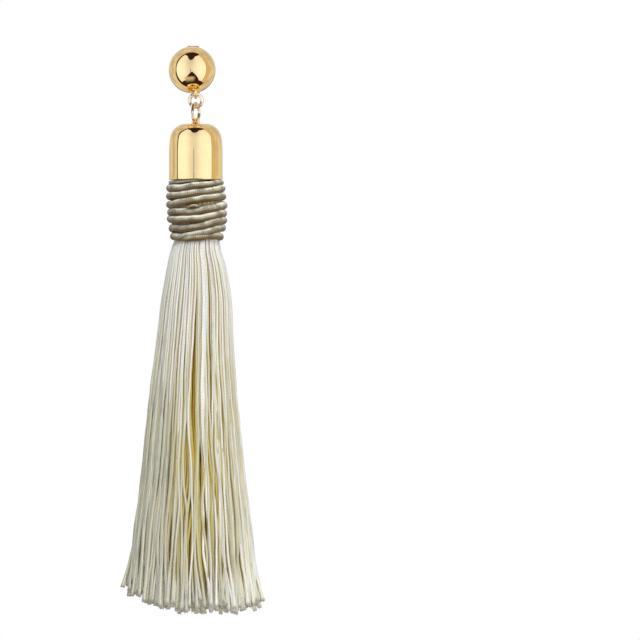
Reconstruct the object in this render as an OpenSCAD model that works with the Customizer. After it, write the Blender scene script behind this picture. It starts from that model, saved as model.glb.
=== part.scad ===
// Tassel earring on a ball stud, one of a pair, hanging as it is worn.
// The origin is on the ear post, in the plane where the back of the ball meets the ear lobe.
// +Z is up, +Y points back along the post, and the front faces -Y. All sizes are millimetres.

/* [Ball stud] */
// Diameter of the ball
ball_d = 10; // [8:0.5:14]
// Diameter of the ear post
post_d = 0.8; // [0.6:0.05:1]
// Length of the post behind the lobe plane
post_len = 10.5; // [9:0.5:13]
// Height of the post above the middle of the ball
post_rise = 2; // [0:0.1:2.5]
// Length of the bevel on the tip of the post
post_bevel = 0.3; // [0.1:0.05:0.5]
// How far the eye sits to the right of the ball's middle
eye_right = 0.8; // [0:0.1:1.2]
// How far the eye sits in front of the ball's middle
eye_front = 1.9; // [0.5:0.1:2.4]
// Wire of the eye under the ball
eye_wire = 0.6; // [0.5:0.05:0.8]
// Width of the eye's hole
eye_hole = 1.4; // [1.3:0.05:1.8]
// Depth that the eye's wire is sunk in the solder
eye_sink = 0.6; // [0.4:0.05:0.7]
// Diameter of the soldered pad round the eye
pad_d = 2.4; // [1.6:0.1:3]
// Height of the pad above the ball
pad_rise = 0.12; // [0.05:0.01:0.15]

/* [Ear nut] */
// Room for the ear lobe between the ball and the nut
lobe_room = 5.5; // [4.5:0.1:6]
// Height of the nut over its two curls
nut_h = 7.5; // [5.6:0.1:8.5]
// Width of the nut at its middle
nut_w = 4; // [3:0.1:5]
// Width of the nut at the top of each curl
nut_tip_w = 2.2; // [1.5:0.1:3]
// Thickness of the nut's strip
nut_strip = 0.35; // [0.25:0.05:0.5]
// Outer diameter of each curl
curl_d = 2.4; // [2:0.1:2.6]
// Gap round the post in the nut
nut_gap = 0.05; // [0.03:0.01:0.1]

/* [Rings] */
// Outer diameter of the upper ring
ring_d = 3.45; // [3.2:0.05:5]
// Wire of the upper ring
ring_wire = 0.76; // [0.5:0.02:0.8]
// Outer diameter of the lower ring
link_d = 4.56; // [4:0.02:7]
// Wire of the lower ring
link_wire = 0.6; // [0.4:0.05:0.7]
// Turn of the lower ring from the front-to-back plane, in degrees
link_turn = 20; // [0:1:35]
// Gap between a ring and the wire that holds it
wire_gap = 0.05; // [0.03:0.01:0.1]

/* [Cap] */
// Outer diameter of the cap
cap_d = 11.4; // [10.5:0.1:14]
// Height of the cap from its rim to its top
cap_h = 11.9; // [9:0.1:16]
// Thickness of the cap's wall
cap_wall = 0.5; // [0.3:0.05:0.8]
// Radius of the corner round the cap's top
cap_corner = 3.3; // [2:0.1:3.5]
// Radius of the slow curve that leads from the corner down to the straight wall
cap_side = 20; // [15:1:40]
// Depth below the top at which the wall is straight
cap_straight = 6; // [5:0.1:7]
// Wire of the loop on the cap
loop_wire = 0.5; // [0.4:0.05:0.6]
// Width of the hole in the cap's loop
loop_hole = 0.9; // [0.85:0.05:1.3]
// Gap between the lower ring and the top of the cap
cap_gap = 0.1; // [0.05:0.01:0.3]

/* [Binding cord] */
// Diameter of the cord
cord_d = 1.5; // [1.2:0.05:1.8]
// Gap between one turn and the next
turn_gap = 0.2; // [0.15:0.05:0.4]
// Radius from the bundle's middle to the middle of the cord
bind_r = 5.5; // [4.8:0.1:6]
// Gap between the cap's rim and the binding
rim_gap = 0.05; // [0.05:0.01:0.2]

/* [Tassel] */
// Number of locks round the fringe
locks = 30; // [20:1:34]
// Length of the fringe below the binding
fringe_len = 79.4; // [50:0.5:120]
// Width of the fringe near its ends
fringe_w = 30.4; // [20:0.2:40]
// Depth of the fringe from front to back near its ends
fringe_depth = 25.8; // [18:0.2:40]
// Most that the ends of two locks differ
lock_uneven = 2.4; // [0:0.1:5]
// Length over which the locks stand apart at their ends
lock_split = 5; // [1:0.5:10]
// Height of the tassel's head inside the cap
head_h = 9; // [4:0.1:10]
// Gap between the head and the cap's wall
head_gap = 0.3; // [0.2:0.05:0.8]
// Gap between the bundle and the binding
core_gap = 0.25; // [0.15:0.05:0.5]

/* [Hidden] */

exact_fn = 64;
cord_sides = 10;
cord_steps = 12;
lock_points = 5;

gold = "gold";
pale_gold = "khaki";
cord_grey = "tan";
ivory = "ivory";

// The ball and its eye
ball_y = -ball_d / 2;
ball_z = -post_rise;
eye_r = (eye_hole + eye_wire) / 2;
eye_reach = ball_d / 2 - eye_sink + eye_r;
eye_down = sqrt(pow(eye_reach, 2) - pow(eye_right, 2) - pow(eye_front, 2));
drop_x = eye_right;
drop_y = ball_y - eye_front;
eye_z = ball_z - eye_down;

// The rings, each resting on the wire that holds it
ring_r = (ring_d - ring_wire) / 2;
link_r = (link_d - link_wire) / 2;
loop_r = (loop_hole + loop_wire) / 2;
ring_top_z = eye_z - eye_r + (eye_wire + ring_wire) / 2 + wire_gap;
ring_z = ring_top_z - ring_r;
link_top_z = ring_z - ring_r + (ring_wire + link_wire) / 2 + wire_gap;
link_z = link_top_z - link_r;
link_low_z = link_z - link_r;
loop_z = link_low_z + (link_wire + loop_wire) / 2 + wire_gap - loop_r;

// The cap
cap_top_z = link_low_z - link_wire / 2 - cap_gap;
rim_z = cap_top_z - cap_h;
cap_side_x = cap_d / 2 - cap_side;
cap_corner_x = cap_side_x + sqrt(pow(cap_side - cap_corner, 2) - pow(cap_straight - cap_corner, 2));
cap_meet = atan2(cap_straight - cap_corner, cap_corner_x - cap_side_x);

// The nut, behind the lobe
nut_bore = post_d + 2 * nut_gap;
curl_z = (nut_h - curl_d) / 2;

// The binding cord: one row for each half turn, right and left in turn from the top.
// DROP below the cap's rim is a share of the pitch, RADIUS a share of bind_r,
// and HEIGHT a share of cord_d, because the first turn is squeezed under the rim.
DROP = 0;
RADIUS = 1;
HEIGHT = 2;
half_turns = [
    [0.08, 0.90, 0.05],
    [0.29, 0.94, 0.50],
    [0.27, 0.95, 0.50],
    [1.04, 1.03, 1.00],
    [1.09, 1.03, 1.00],
    [2.01, 1.05, 1.00],
    [2.00, 1.07, 1.00],
    [3.05, 1.04, 1.00],
    [3.20, 1.10, 1.00],
    [3.98, 0.99, 1.00],
    [4.12, 1.10, 1.00],
    [4.96, 1.01, 1.00],
    [5.05, 1.10, 1.00],
    [6.00, 0.93, 1.00],
    [6.00, 1.05, 1.00],
    [7.10, 0.89, 1.00],
    [7.06, 0.98, 1.00],
    [8.10, 0.70, 1.00],
];
cord_first = 0.5;
cord_last = 16.35;
pitch = cord_d + turn_gap;
bind_z = rim_z - rim_gap;
turns = 8;

// The fringe: one row for each section, from the neck under the binding to the ends.
// FALL is a share of fringe_len, WIDE runs from the neck's radius at 0 to the ends' at 1,
// LEAN is the share of fringe_w that the middle lies to the right, and GROOVE is the
// depth of the furrow between two locks as a share of the radius.
FALL = 0;
WIDE = 1;
LEAN = 2;
GROOVE = 3;
sections = [
    [0.000, 0.00, 0.006, 0.04],
    [0.012, 0.08, 0.002, 0.05],
    [0.027, 0.13, 0.000, 0.06],
    [0.060, 0.18, 0.004, 0.07],
    [0.107, 0.24, 0.005, 0.08],
    [0.156, 0.30, 0.004, 0.08],
    [0.252, 0.37, -0.006, 0.09],
    [0.381, 0.46, -0.016, 0.10],
    [0.510, 0.56, -0.020, 0.12],
    [0.638, 0.65, -0.020, 0.15],
    [0.767, 0.78, -0.024, 0.20],
    [0.864, 0.86, -0.024, 0.27],
    [0.940, 0.98, -0.026, 0.36],
    [1.000, 1.01, -0.026, 0.44],
];
neck_share = 7.75;
neck_z = bind_z - neck_share * pitch;
// The cut ends: how far each eighth of the fringe ends above the lowest end, as a share
// of fringe_len, from the right round by the back.
cut_rise = [0.025, 0.010, 0.004, 0.030, 0.052, 0.024, 0.002, 0.008];
lock_count = round(locks);
lock_len = rands(0, 1, lock_count, 11);
lock_out = rands(-1, 1, lock_count, 5);
lock_sway = rands(-1, 1, lock_count, 8);
// The underside of the fringe: SHRINK of the ring of ends, and LIFT as a share of fringe_len
underside = [[0.80, 0.006], [0.30, 0.100]];
// The head in the cap: UP as a share of head_h and OUT as a share of the head's radius
head_rows = [[1.00, 0.45], [0.94, 0.80], [0.80, 1.00], [0.25, 1.00]];
head_r = cap_d / 2 - cap_wall - head_gap;
head_groove = 0.02;

function mix(a, b, t) = a + (b - a) * t;
function ease(t) = (1 - cos(180 * t)) / 2;

function wound(h, column) =
    let (i = min(floor(h), len(half_turns) - 2))
    mix(half_turns[i][column], half_turns[i + 1][column], ease(h - i));

function cord_point(h, side) =
    let (
        turn = -180 * h,
        around = 360 * side / cord_sides,
        r = bind_r * wound(h, RADIUS) + cord_d / 2 * cos(around),
        z = bind_z - pitch * wound(h, DROP) + cord_d / 2 * wound(h, HEIGHT) * sin(around)
    )
    [drop_x + r * cos(turn), drop_y + r * sin(turn), z];

// A closed skin over rows of points, each row a ring with as many points as the next
function skin_faces(rows, n) = concat(
    [for (j = [0:rows - 2], i = [0:n - 1]) [j * n + i, (j + 1) * n + i, j * n + (i + 1) % n]],
    [for (j = [0:rows - 2], i = [0:n - 1])
        [(j + 1) * n + i, (j + 1) * n + (i + 1) % n, j * n + (i + 1) % n]]
);

function turn_radius(k) = bind_r * (half_turns[2 * k + 1][RADIUS] + half_turns[2 * k + 2][RADIUS]) / 2;
function turn_shift(k) = bind_r * (half_turns[2 * k + 2][RADIUS] - half_turns[2 * k + 1][RADIUS]) / 2;
function turn_drop(k) = pitch * (half_turns[2 * k + 1][DROP] + half_turns[2 * k + 2][DROP]) / 2;
function core_r(k) = turn_radius(k) - cord_d / 2 - core_gap;
neck_r = core_r(turns - 1);

// Rows of the tassel: height, half width, half depth, shift to the right, groove, fall
function tassel_rows() = concat(
    [for (row = head_rows) [rim_z + row[0] * head_h, head_r * row[1], head_r * row[1], 0, head_groove, 0]],
    [[bind_z + cap_wall, core_r(0), core_r(0), 0, head_groove, 0]],
    [for (k = [0:turns - 1])
        [bind_z - turn_drop(k), core_r(k), core_r(k), turn_shift(k), head_groove, 0]],
    [for (s = sections) [
        neck_z - s[FALL] * fringe_len,
        mix(neck_r, fringe_w / 2, s[WIDE]),
        mix(neck_r, fringe_depth / 2, s[WIDE]),
        s[LEAN] * fringe_w,
        s[GROOVE],
        s[FALL]
    ]]
);

function lobe(f) = pow(sin(180 * f), 0.6);
function cut(a) = let (e = (a / 45 + 8) % 8, i = floor(e)) mix(cut_rise[i], cut_rise[(i + 1) % 8], e - i);

// How much higher than the lowest end the point of a lock ends
function end_rise(a, k, f) =
    cut(a) * fringe_len + lock_len[k] * lock_uneven + (1 - lobe(f)) * lock_split;

function tassel_point(row, i, shrink, lift) =
    let (
        k = floor(i / lock_points),
        f = i / lock_points - k,
        sway = mix(lock_sway[k], lock_sway[(k + 1) % lock_count], f) * row[5] * 0.3,
        a = 360 * (i / lock_points + sway) / lock_count,
        full = 1 - row[4] * (1 - lobe(f)) - 0.04 * row[5] * (1 - lock_out[k]) * lobe(f)
    )
    [
        drop_x + row[3] + row[1] * full * shrink * cos(a),
        drop_y + row[2] * full * shrink * sin(a),
        row[0] + (end_rise(a, k, f) + lift) * row[5]
    ];

module torus(mean_r, wire) {
    rotate_extrude($fn = exact_fn)
        translate([mean_r, 0])
            circle(d = wire, $fn = exact_fn / 2);
}

module ball_stud() {
    color(gold) {
        translate([0, ball_y, ball_z])
            sphere(d = ball_d, $fn = exact_fn);
        eye();
        eye_pad();
        post();
    }
}

module eye() {
    translate([drop_x, drop_y, eye_z])
        rotate([0, 90, 0])
            torus(eye_r, eye_wire);
}

module eye_pad() {
    lean_front = acos(eye_down / eye_reach);
    lean_side = atan2(-eye_front, eye_right);
    translate([0, ball_y, ball_z])
        rotate([0, 0, lean_side])
            rotate([0, 180 - lean_front, 0])
                cylinder(d = pad_d, h = ball_d / 2 + pad_rise, $fn = exact_fn);
}

module post() {
    bevel_y = post_len - post_bevel;
    rotate([-90, 0, 0]) {
        translate([0, 0, ball_y])
            cylinder(d = post_d, h = bevel_y - ball_y, $fn = exact_fn);
        translate([0, 0, bevel_y])
            cylinder(d1 = post_d, d2 = post_d / 2, h = post_bevel, $fn = exact_fn);
    }
}

module ear_nut() {
    color(pale_gold)
        translate([0, lobe_room, 0])
            difference() {
                intersection() {
                    rotate([90, 0, 90])
                        translate([0, 0, -nut_w / 2])
                            linear_extrude(nut_w)
                                nut_profile();
                    rotate([-90, 0, 0])
                        linear_extrude(curl_d)
                            nut_outline();
                }
                rotate([-90, 0, 0])
                    translate([0, 0, -nut_strip])
                        cylinder(d = nut_bore, h = curl_d + 2 * nut_strip, $fn = exact_fn);
            }
}

// The strip from the side: a flat plate whose two ends curl back to the post
module nut_profile() {
    translate([0, -curl_z])
        square([nut_strip, 2 * curl_z]);
    nut_curl();
    mirror([0, 1])
        nut_curl();
}

module nut_curl() {
    translate([curl_d / 2, curl_z])
        difference() {
            circle(d = curl_d, $fn = exact_fn);
            circle(d = curl_d - 2 * nut_strip, $fn = exact_fn);
            translate([-curl_d, -curl_d])
                square(curl_d);
        }
}

module nut_outline() {
    polygon([
        [-nut_tip_w / 2, -nut_h / 2], [nut_tip_w / 2, -nut_h / 2],
        [nut_w / 2, -curl_z / 2], [nut_w / 2, curl_z / 2],
        [nut_tip_w / 2, nut_h / 2], [-nut_tip_w / 2, nut_h / 2],
        [-nut_w / 2, curl_z / 2], [-nut_w / 2, -curl_z / 2],
    ]);
}

module upper_ring() {
    color(pale_gold)
        translate([drop_x, drop_y, ring_z])
            rotate([90, 0, 0])
                torus(ring_r, ring_wire);
}

module lower_ring() {
    color(pale_gold)
        translate([drop_x, drop_y, link_z])
            rotate([0, 0, -link_turn])
                rotate([0, 90, 0])
                    torus(link_r, link_wire);
}

module cap() {
    color(gold) {
        translate([drop_x, drop_y, cap_top_z])
            rotate_extrude($fn = exact_fn)
                cap_section();
        translate([drop_x, drop_y, loop_z])
            rotate([90, 0, -link_turn])
                torus(loop_r, loop_wire);
    }
}

// The wall in section, with its top at zero and its rim rounded
module cap_section() {
    difference() {
        cap_form(0, cap_h - cap_wall / 2);
        cap_form(cap_wall, cap_h);
    }
    translate([(cap_d - cap_wall) / 2, cap_wall / 2 - cap_h])
        circle(d = cap_wall, $fn = exact_fn);
}

// Half of the cap's filled section, inset from the outside, down to a depth
module cap_form(inset, depth) {
    corner = cap_corner - inset;
    meet_x = cap_corner_x + corner * cos(cap_meet);
    meet_z = corner * sin(cap_meet) - cap_corner;
    polygon([
        [0, -inset], [cap_corner_x, -inset], [meet_x, meet_z],
        [cap_d / 2 - inset, -cap_straight], [cap_d / 2 - inset, -depth], [0, -depth],
    ]);
    intersection() {
        translate([cap_corner_x, -cap_corner])
            circle(corner, $fn = 2 * exact_fn);
        translate([cap_corner_x, meet_z])
            square(cap_d);
    }
    intersection() {
        translate([cap_side_x, -cap_straight])
            circle(cap_side - inset, $fn = 4 * exact_fn);
        translate([cap_corner_x, -cap_straight])
            square([cap_d, meet_z + cap_straight]);
    }
}

module binding_cord() {
    steps = ceil((cord_last - cord_first) * cord_steps);
    points = [for (j = [0:steps], i = [0:cord_sides - 1])
        cord_point(mix(cord_first, cord_last, j / steps), i)];
    start_face = [for (i = [0:cord_sides - 1]) i];
    end_face = [for (i = [cord_sides - 1:-1:0]) steps * cord_sides + i];
    color(cord_grey)
        polyhedron(points, concat(skin_faces(steps + 1, cord_sides), [start_face, end_face]));
}

module tassel() {
    n = lock_count * lock_points;
    rows = tassel_rows();
    last = rows[len(rows) - 1];
    skin = concat(
        [for (row = rows, i = [0:n - 1]) tassel_point(row, i, 1, 0)],
        [for (row = underside, i = [0:n - 1]) tassel_point(last, i, row[0], row[1] * fringe_len)]
    );
    count = len(rows) + len(underside);
    top = [drop_x, drop_y, rows[0][0]];
    hollow = [drop_x + last[3], drop_y, last[0] + 1.5 * underside[1][1] * fringe_len];
    top_fan = [for (i = [0:n - 1]) [count * n, i, (i + 1) % n]];
    hollow_fan = [for (i = [0:n - 1]) [count * n + 1, (count - 1) * n + (i + 1) % n, (count - 1) * n + i]];
    color(ivory)
        polyhedron(concat(skin, [top, hollow]), concat(skin_faces(count, n), top_fan, hollow_fan));
}

ball_stud();
ear_nut();
upper_ring();
lower_ring();
cap();
binding_cord();
tassel();
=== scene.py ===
"""Tassel earring on a ball stud: polished metal, wound cord and silk threads over the CAD frame.

All sizes are metres. +Z is up, the front faces -Y, and the drop hangs on the axis of its cap.
"""

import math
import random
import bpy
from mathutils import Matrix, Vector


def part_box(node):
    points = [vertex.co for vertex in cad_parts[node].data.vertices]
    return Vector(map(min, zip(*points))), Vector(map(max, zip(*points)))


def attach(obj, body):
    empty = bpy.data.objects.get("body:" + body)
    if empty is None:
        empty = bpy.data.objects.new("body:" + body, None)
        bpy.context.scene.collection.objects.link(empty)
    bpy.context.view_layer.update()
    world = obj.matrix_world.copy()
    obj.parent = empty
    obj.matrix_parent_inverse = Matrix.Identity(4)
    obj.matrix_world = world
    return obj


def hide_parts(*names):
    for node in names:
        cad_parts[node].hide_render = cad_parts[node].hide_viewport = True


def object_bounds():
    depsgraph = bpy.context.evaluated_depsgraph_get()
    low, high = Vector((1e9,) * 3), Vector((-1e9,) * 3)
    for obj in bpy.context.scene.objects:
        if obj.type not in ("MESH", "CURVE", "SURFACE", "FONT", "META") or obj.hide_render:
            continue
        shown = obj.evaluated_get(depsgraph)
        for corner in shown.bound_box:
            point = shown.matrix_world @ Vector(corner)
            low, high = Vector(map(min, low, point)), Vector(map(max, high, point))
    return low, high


bl_info = {
    "name": "Tassel Earring",
    "version": (1, 0, 0),
    "blender": (4, 5, 0),
    "location": "View3D > Sidebar > Tassel Earring",
    "description": "Builds the polished metal, the wound cord and the silk threads of a tassel earring",
    "category": "Object",
}

import bmesh
import bpy
from bpy.props import FloatProperty, FloatVectorProperty, IntProperty, PointerProperty
from mathutils import Matrix, Vector, noise

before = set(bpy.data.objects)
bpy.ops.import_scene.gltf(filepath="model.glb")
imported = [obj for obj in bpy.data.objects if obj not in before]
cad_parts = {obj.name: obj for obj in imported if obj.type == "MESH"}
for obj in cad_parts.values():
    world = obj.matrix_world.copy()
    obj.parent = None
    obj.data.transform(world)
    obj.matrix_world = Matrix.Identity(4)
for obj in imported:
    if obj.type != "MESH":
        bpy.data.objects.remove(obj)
CAD_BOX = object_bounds()

MM = 0.001
TAU = 2 * math.pi
# Corners closer than this are merged.
SAME = 1e-7


# Places read from the frame


def ends(node):
    """Lowest and highest corner of a node's box."""
    return [Vector(corner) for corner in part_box(node)]


STUD_LOW, STUD_HIGH = ends("ball_stud")
CAP_LOW, CAP_HIGH = ends("cap")
NUT_LOW, NUT_HIGH = ends("ear_nut")
BALL_R = (STUD_HIGH.x - STUD_LOW.x) / 2
BALL = Vector((0, STUD_LOW.y + BALL_R, STUD_HIGH.z - BALL_R))
DROP = (CAP_LOW + CAP_HIGH) / 2
DROP.z = 0
RIM_Z = CAP_LOW.z
CAP_R = (CAP_HIGH.x - CAP_LOW.x) / 2


# Sizes and colours that a user would change


def length(name, description, default):
    return FloatProperty(
        name=name, description=description, default=default * MM, min=0, unit="LENGTH", precision=5
    )


def share(name, description, default, low=0.0, high=1.0):
    return FloatProperty(
        name=name, description=description, default=default, min=low, max=high, subtype="FACTOR"
    )


def colour(name, description, default):
    return FloatVectorProperty(
        name=name, description=description, default=default, min=0, max=1, size=3, subtype="COLOR"
    )


class MetalSettings(bpy.types.PropertyGroup):
    """Sizes and colours of the metal pieces."""

    gold: colour("Gold", "Colour of the polished gold plate", (1.0, 0.73, 0.31))
    pale_gold: colour("Pale gold", "Colour of the rings' plate", (1.0, 0.84, 0.54))
    tarnish: colour("Tarnish", "Colour of the rings where they are worn", (0.26, 0.13, 0.03))
    nut_gold: colour("Nut gold", "Colour of the ear nut's plate", (0.52, 0.45, 0.30))
    # The solder's gold plate, deepened to orange as a painted reflection of the warm surroundings.
    solder_gold: colour("Solder gold", "Colour of the plated solder under the ball", (0.86, 0.42, 0.03))
    eye_wire: length("Eye wire", "Wire of the eye under the ball", 0.6)
    eye_r: length("Eye radius", "Mean radius of the eye", 1.0)
    eye_sink: length("Eye sink", "Depth of the eye's wire in the solder", 0.6)
    pad_d: length("Solder width", "Width of the solder round the eye", 2.4)
    post_d: length("Post", "Diameter of the ear post", 0.8)
    post_bevel: length("Post bevel", "Length of the bevel on the tip of the post", 0.3)
    nut_strip: length("Nut strip", "Thickness of the ear nut's strip", 0.35)
    curl_d: length("Curl", "Outer diameter of the nut's curls", 2.4)
    nut_tip_w: length("Nut tip", "Width of the nut at the top of each curl", 2.2)
    ring_wire: length("Ring wire", "Wire of the upper ring", 0.76)
    link_wire: length("Link wire", "Wire of the lower ring", 0.6)
    link_turn: FloatProperty(
        name="Link turn",
        description="Turn of the lower ring from the front-to-back plane",
        default=math.radians(20),
        subtype="ANGLE",
    )
    cap_wall: length("Cap wall", "Thickness of the cap's wall", 0.5)
    cap_h: length("Cap height", "Height of the cap from rim to top", 11.9)
    cap_corner: length("Cap corner", "Radius of the corner round the cap's top", 3.3)
    cap_side: length("Cap side", "Radius of the slow curve under the corner", 20.0)
    cap_straight: length("Cap straight", "Depth at which the wall is straight", 6.0)
    loop_wire: length("Loop wire", "Wire of the loop on the cap", 0.5)
    loop_hole: length("Loop hole", "Width of the hole in the cap's loop", 0.9)


class CordSettings(bpy.types.PropertyGroup):
    """Sizes and colours of the binding."""

    cord_d: length("Cord", "Diameter of the binding cord", 1.66)
    turn_gap: length("Turn gap", "Gap between one turn and the next", 0.04)
    bind_r: length("Binding radius", "From the bundle's middle to the middle of the cord", 5.31)
    rim_gap: length("Rim gap", "Gap between the cap's rim and the binding", 0.05)
    rib: length("Rib", "Spacing of the windings round the cord", 0.36)
    rib_depth: share("Rib depth", "Depth of the ribs as a share of the cord's radius", 0.14)
    cord_colour: colour("Cord colour", "Silver beige of the winding", (0.215, 0.212, 0.142))
    # Painted highlight: silver on the upper sides of the turns.
    cord_crest: colour("Cord crest", "Silver of the winding in the light", (0.88, 0.90, 0.87))
    # Painted shade: brown in the rib furrows and on the undersides of the turns.
    cord_shade: colour("Cord shade", "Brown between the windings", (0.095, 0.041, 0.002))


class TasselSettings(bpy.types.PropertyGroup):
    """Sizes and colours of the silk threads."""

    fringe_len: length("Fringe length", "Length of the fringe below the binding", 79.4)
    fringe_w: length("Fringe width", "Width of the fringe near its ends", 29.6)
    fringe_depth: length("Fringe depth", "Depth of the fringe from front to back", 25.2)
    neck_r: length("Neck radius", "Radius of the bundle under the binding", 4.5)
    thread_d: length("Thread", "Diameter of one thread", 0.57)
    ply_turn: length("Ply turn", "Length in which a thread's plies turn once", 1.5)
    uneven: length("Uneven ends", "Most that the ends of two threads differ", 2.6)
    silk: colour("Silk", "Ivory of the palest threads", (0.86, 0.845, 0.83))
    silk_warm: colour("Warm silk", "Cream of the darkest threads", (0.52, 0.50, 0.365))
    # Painted shade: olive on the flanks of the threads.
    silk_flank: colour("Silk flank", "Olive on the flanks of the threads", (0.51, 0.41, 0.08))
    # Painted shade: amber in the gaps behind the outer threads in the middle.
    silk_deep: colour("Deep silk", "Amber behind the outer threads in the middle", (0.70, 0.43, 0.06))
    # Painted shade: khaki in the gaps behind the outer threads at the sides, and on their flanks there.
    silk_shade: colour("Silk shade", "Khaki behind the outer threads at the sides", (0.92, 0.87, 0.55))
    cut_colour: colour("Cut ends", "Grey of the threads' cut ends", (0.38, 0.37, 0.31))
    # Painted shade: the bundle is the same silk, brown where it shows in the shade between the turns.
    bundle_pale: colour("Bundle", "Palest threads of the bundle", (0.50, 0.35, 0.17))
    bundle_dark: colour("Bundle shade", "Furrows of the bundle", (0.17, 0.10, 0.035))
    seed: IntProperty(name="Seed", description="Changes how the threads lie", default=7)


class StudioSettings(bpy.types.PropertyGroup):
    """The camera, the floor and the light."""

    lens: FloatProperty(name="Lens", description="Focal length in millimetres", default=400)
    view_w: length("View width", "Width of the view at the earring", 136.2)
    view_x: length("View middle", "Middle of the view, right of the ball's middle", 27.24)
    view_drop: length("View drop", "Middle of the view, below the origin", 55.3)
    floor_drop: length("Floor", "Floor below the lowest thread", 80.0)
    tent: share("Tent", "Brightness of the white tent behind the earring", 0.72, 0, 4)
    boxes: share("Light boxes", "Brightness of the two light boxes in front", 1.2, 0, 8)
    soft: share("Soft light", "Brightness of the soft light on the silk", 0.64, 0, 4)
    key: FloatProperty(name="Key light", description="Power of the soft lights in watts", default=1.6)


# Shader nodes


def socket_set(node, name, value):
    """Set or link one input of a node."""
    socket = node.inputs[name]
    if isinstance(value, bpy.types.NodeSocket):
        node.id_data.links.new(value, socket)
    elif socket.type == "RGBA" and len(value) == 3:
        socket.default_value = (*value, 1)
    else:
        socket.default_value = value


def add(tree, kind, **inputs):
    """Add a node, with its inputs given by name, spaces written as underscores."""
    node = tree.nodes.new(kind)
    for name, value in inputs.items():
        socket_set(node, name.replace("_", " "), value)
    return node


def calc(tree, operation, *values):
    """Add a Math node and give its output."""
    node = tree.nodes.new("ShaderNodeMath")
    node.operation = operation
    for index, value in enumerate(values):
        socket_set(node, index, value)
    return node.outputs[0]


def times(tree, first, second, more=None):
    """Multiply two values, and add a third where there is one."""
    if more is None:
        return calc(tree, "MULTIPLY", first, second)
    return calc(tree, "MULTIPLY_ADD", first, second, more)


def mix_colour(tree, factor, first, second, blend="MIX"):
    """Add a Mix node for colours and give its output."""
    node = tree.nodes.new("ShaderNodeMix")
    node.data_type = "RGBA"
    node.blend_type = blend
    for index, value in ((0, factor), (6, first), (7, second)):
        socket_set(node, index, value)
    return node.outputs[2]


def ramp(tree, value, start, end, low=0.0, high=1.0):
    """Add a smooth Map Range node and give its output."""
    node = tree.nodes.new("ShaderNodeMapRange")
    node.interpolation_type = "SMOOTHSTEP"
    for index, item in enumerate((value, start, end, low, high)):
        socket_set(node, index, item)
    return node.outputs[0]


def noise_value(tree, vector, scale, detail=3.0):
    """Add a Noise node and give its value, from 0 to 1."""
    return add(tree, "ShaderNodeTexNoise", Vector=vector, Scale=scale, Detail=detail).outputs["Fac"]


def stretched(tree, vector, scale):
    """Scale a pattern's coordinates along each axis."""
    return add(tree, "ShaderNodeMapping", Vector=vector, Scale=scale).outputs[0]


def on_piece(tree):
    """Coordinates that stay with the piece."""
    return tree.nodes.new("ShaderNodeTexCoord").outputs["Object"]


def attribute(tree, name):
    """Read one of a mesh's own values."""
    node = tree.nodes.new("ShaderNodeAttribute")
    node.attribute_name = name
    return node.outputs["Fac"]


def new_group(name, inputs, outputs):
    """Start a shader node group with named inputs and outputs."""
    tree = bpy.data.node_groups.new(name, "ShaderNodeTree")
    for label, kind, default in inputs:
        socket = tree.interface.new_socket(label, in_out="INPUT", socket_type="NodeSocket" + kind)
        if default is not None:
            socket.default_value = default
    for label in outputs:
        tree.interface.new_socket(label, in_out="OUTPUT", socket_type="NodeSocketFloat")
    return tree, tree.nodes.new("NodeGroupInput").outputs, tree.nodes.new("NodeGroupOutput")


def placed(tree, build, **inputs):
    """Place a group in a material, and build it the first time."""
    node = tree.nodes.new("ShaderNodeGroup")
    node.node_tree = bpy.data.node_groups.get(build.__name__) or build()
    for name, value in inputs.items():
        socket_set(node, name, value)
    return node.outputs


def handled_plate():
    """Group: faint ripple, hairlines, haze and stains of polished plate that is handled."""
    tree, given, out = new_group(
        "handled_plate",
        (
            ("Vector", "Vector", None),
            ("Gloss", "Float", 0.04),
            ("Haze", "Float", 0.05),
            ("Waves", "Float", 160.0),
        ),
        ("Roughness", "Height", "Tone", "Tarnish"),
    )
    where, waves = given["Vector"], given["Waves"]
    ripple = noise_value(tree, where, waves, 1.0)
    haze = noise_value(tree, where, 700.0, 4.0)
    hairs = noise_value(tree, stretched(tree, where, (9000, 900, 2600)), 1.0, 2.0)
    hair_mask = ramp(tree, hairs, 0.62, 0.74)
    dull_and_left_shade = calc(tree, "ADD", ramp(tree, haze, 0.45, 0.75), times(tree, hair_mask, 0.5))
    stain = noise_value(tree, where, times(tree, waves, 1.6), 2.0)
    socket_set(out, "Roughness", times(tree, dull_and_left_shade, given["Haze"], given["Gloss"]))
    socket_set(out, "Height", calc(tree, "ADD", ripple, times(tree, hair_mask, -0.02)))
    socket_set(out, "Tone", ramp(tree, haze, 0.3, 0.8))
    socket_set(out, "Tarnish", ramp(tree, stain, 0.44, 0.60))
    return tree


def silk_twist():
    """Group: plies that turn round a thread, and fine filaments along them."""
    tree, given, out = new_group(
        "silk_twist",
        (("UV", "Vector", None), ("Plies", "Float", 2.0), ("Turns", "Float", 40.0)),
        ("Height", "Furrow", "Filament"),
    )
    around, along, _ = add(tree, "ShaderNodeSeparateXYZ", Vector=given["UV"]).outputs
    lay = times(tree, along, given["Turns"])
    plies = calc(tree, "ADD", times(tree, around, given["Plies"]), lay)
    wave = calc(tree, "SINE", times(tree, plies, TAU / 2))
    ridge = calc(tree, "POWER", calc(tree, "ABSOLUTE", wave), 0.6)
    slant = calc(tree, "SUBTRACT", times(tree, around, 24.0), times(tree, lay, 5.0))
    fine = add(tree, "ShaderNodeCombineXYZ", X=slant, Y=times(tree, along, 30.0))
    filament = noise_value(tree, fine.outputs[0], 1.0, 2.0)
    socket_set(out, "Height", times(tree, filament, 0.25, ridge))
    socket_set(out, "Furrow", calc(tree, "SUBTRACT", 1.0, ridge))
    socket_set(out, "Filament", filament)
    return tree


# Materials


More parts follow.
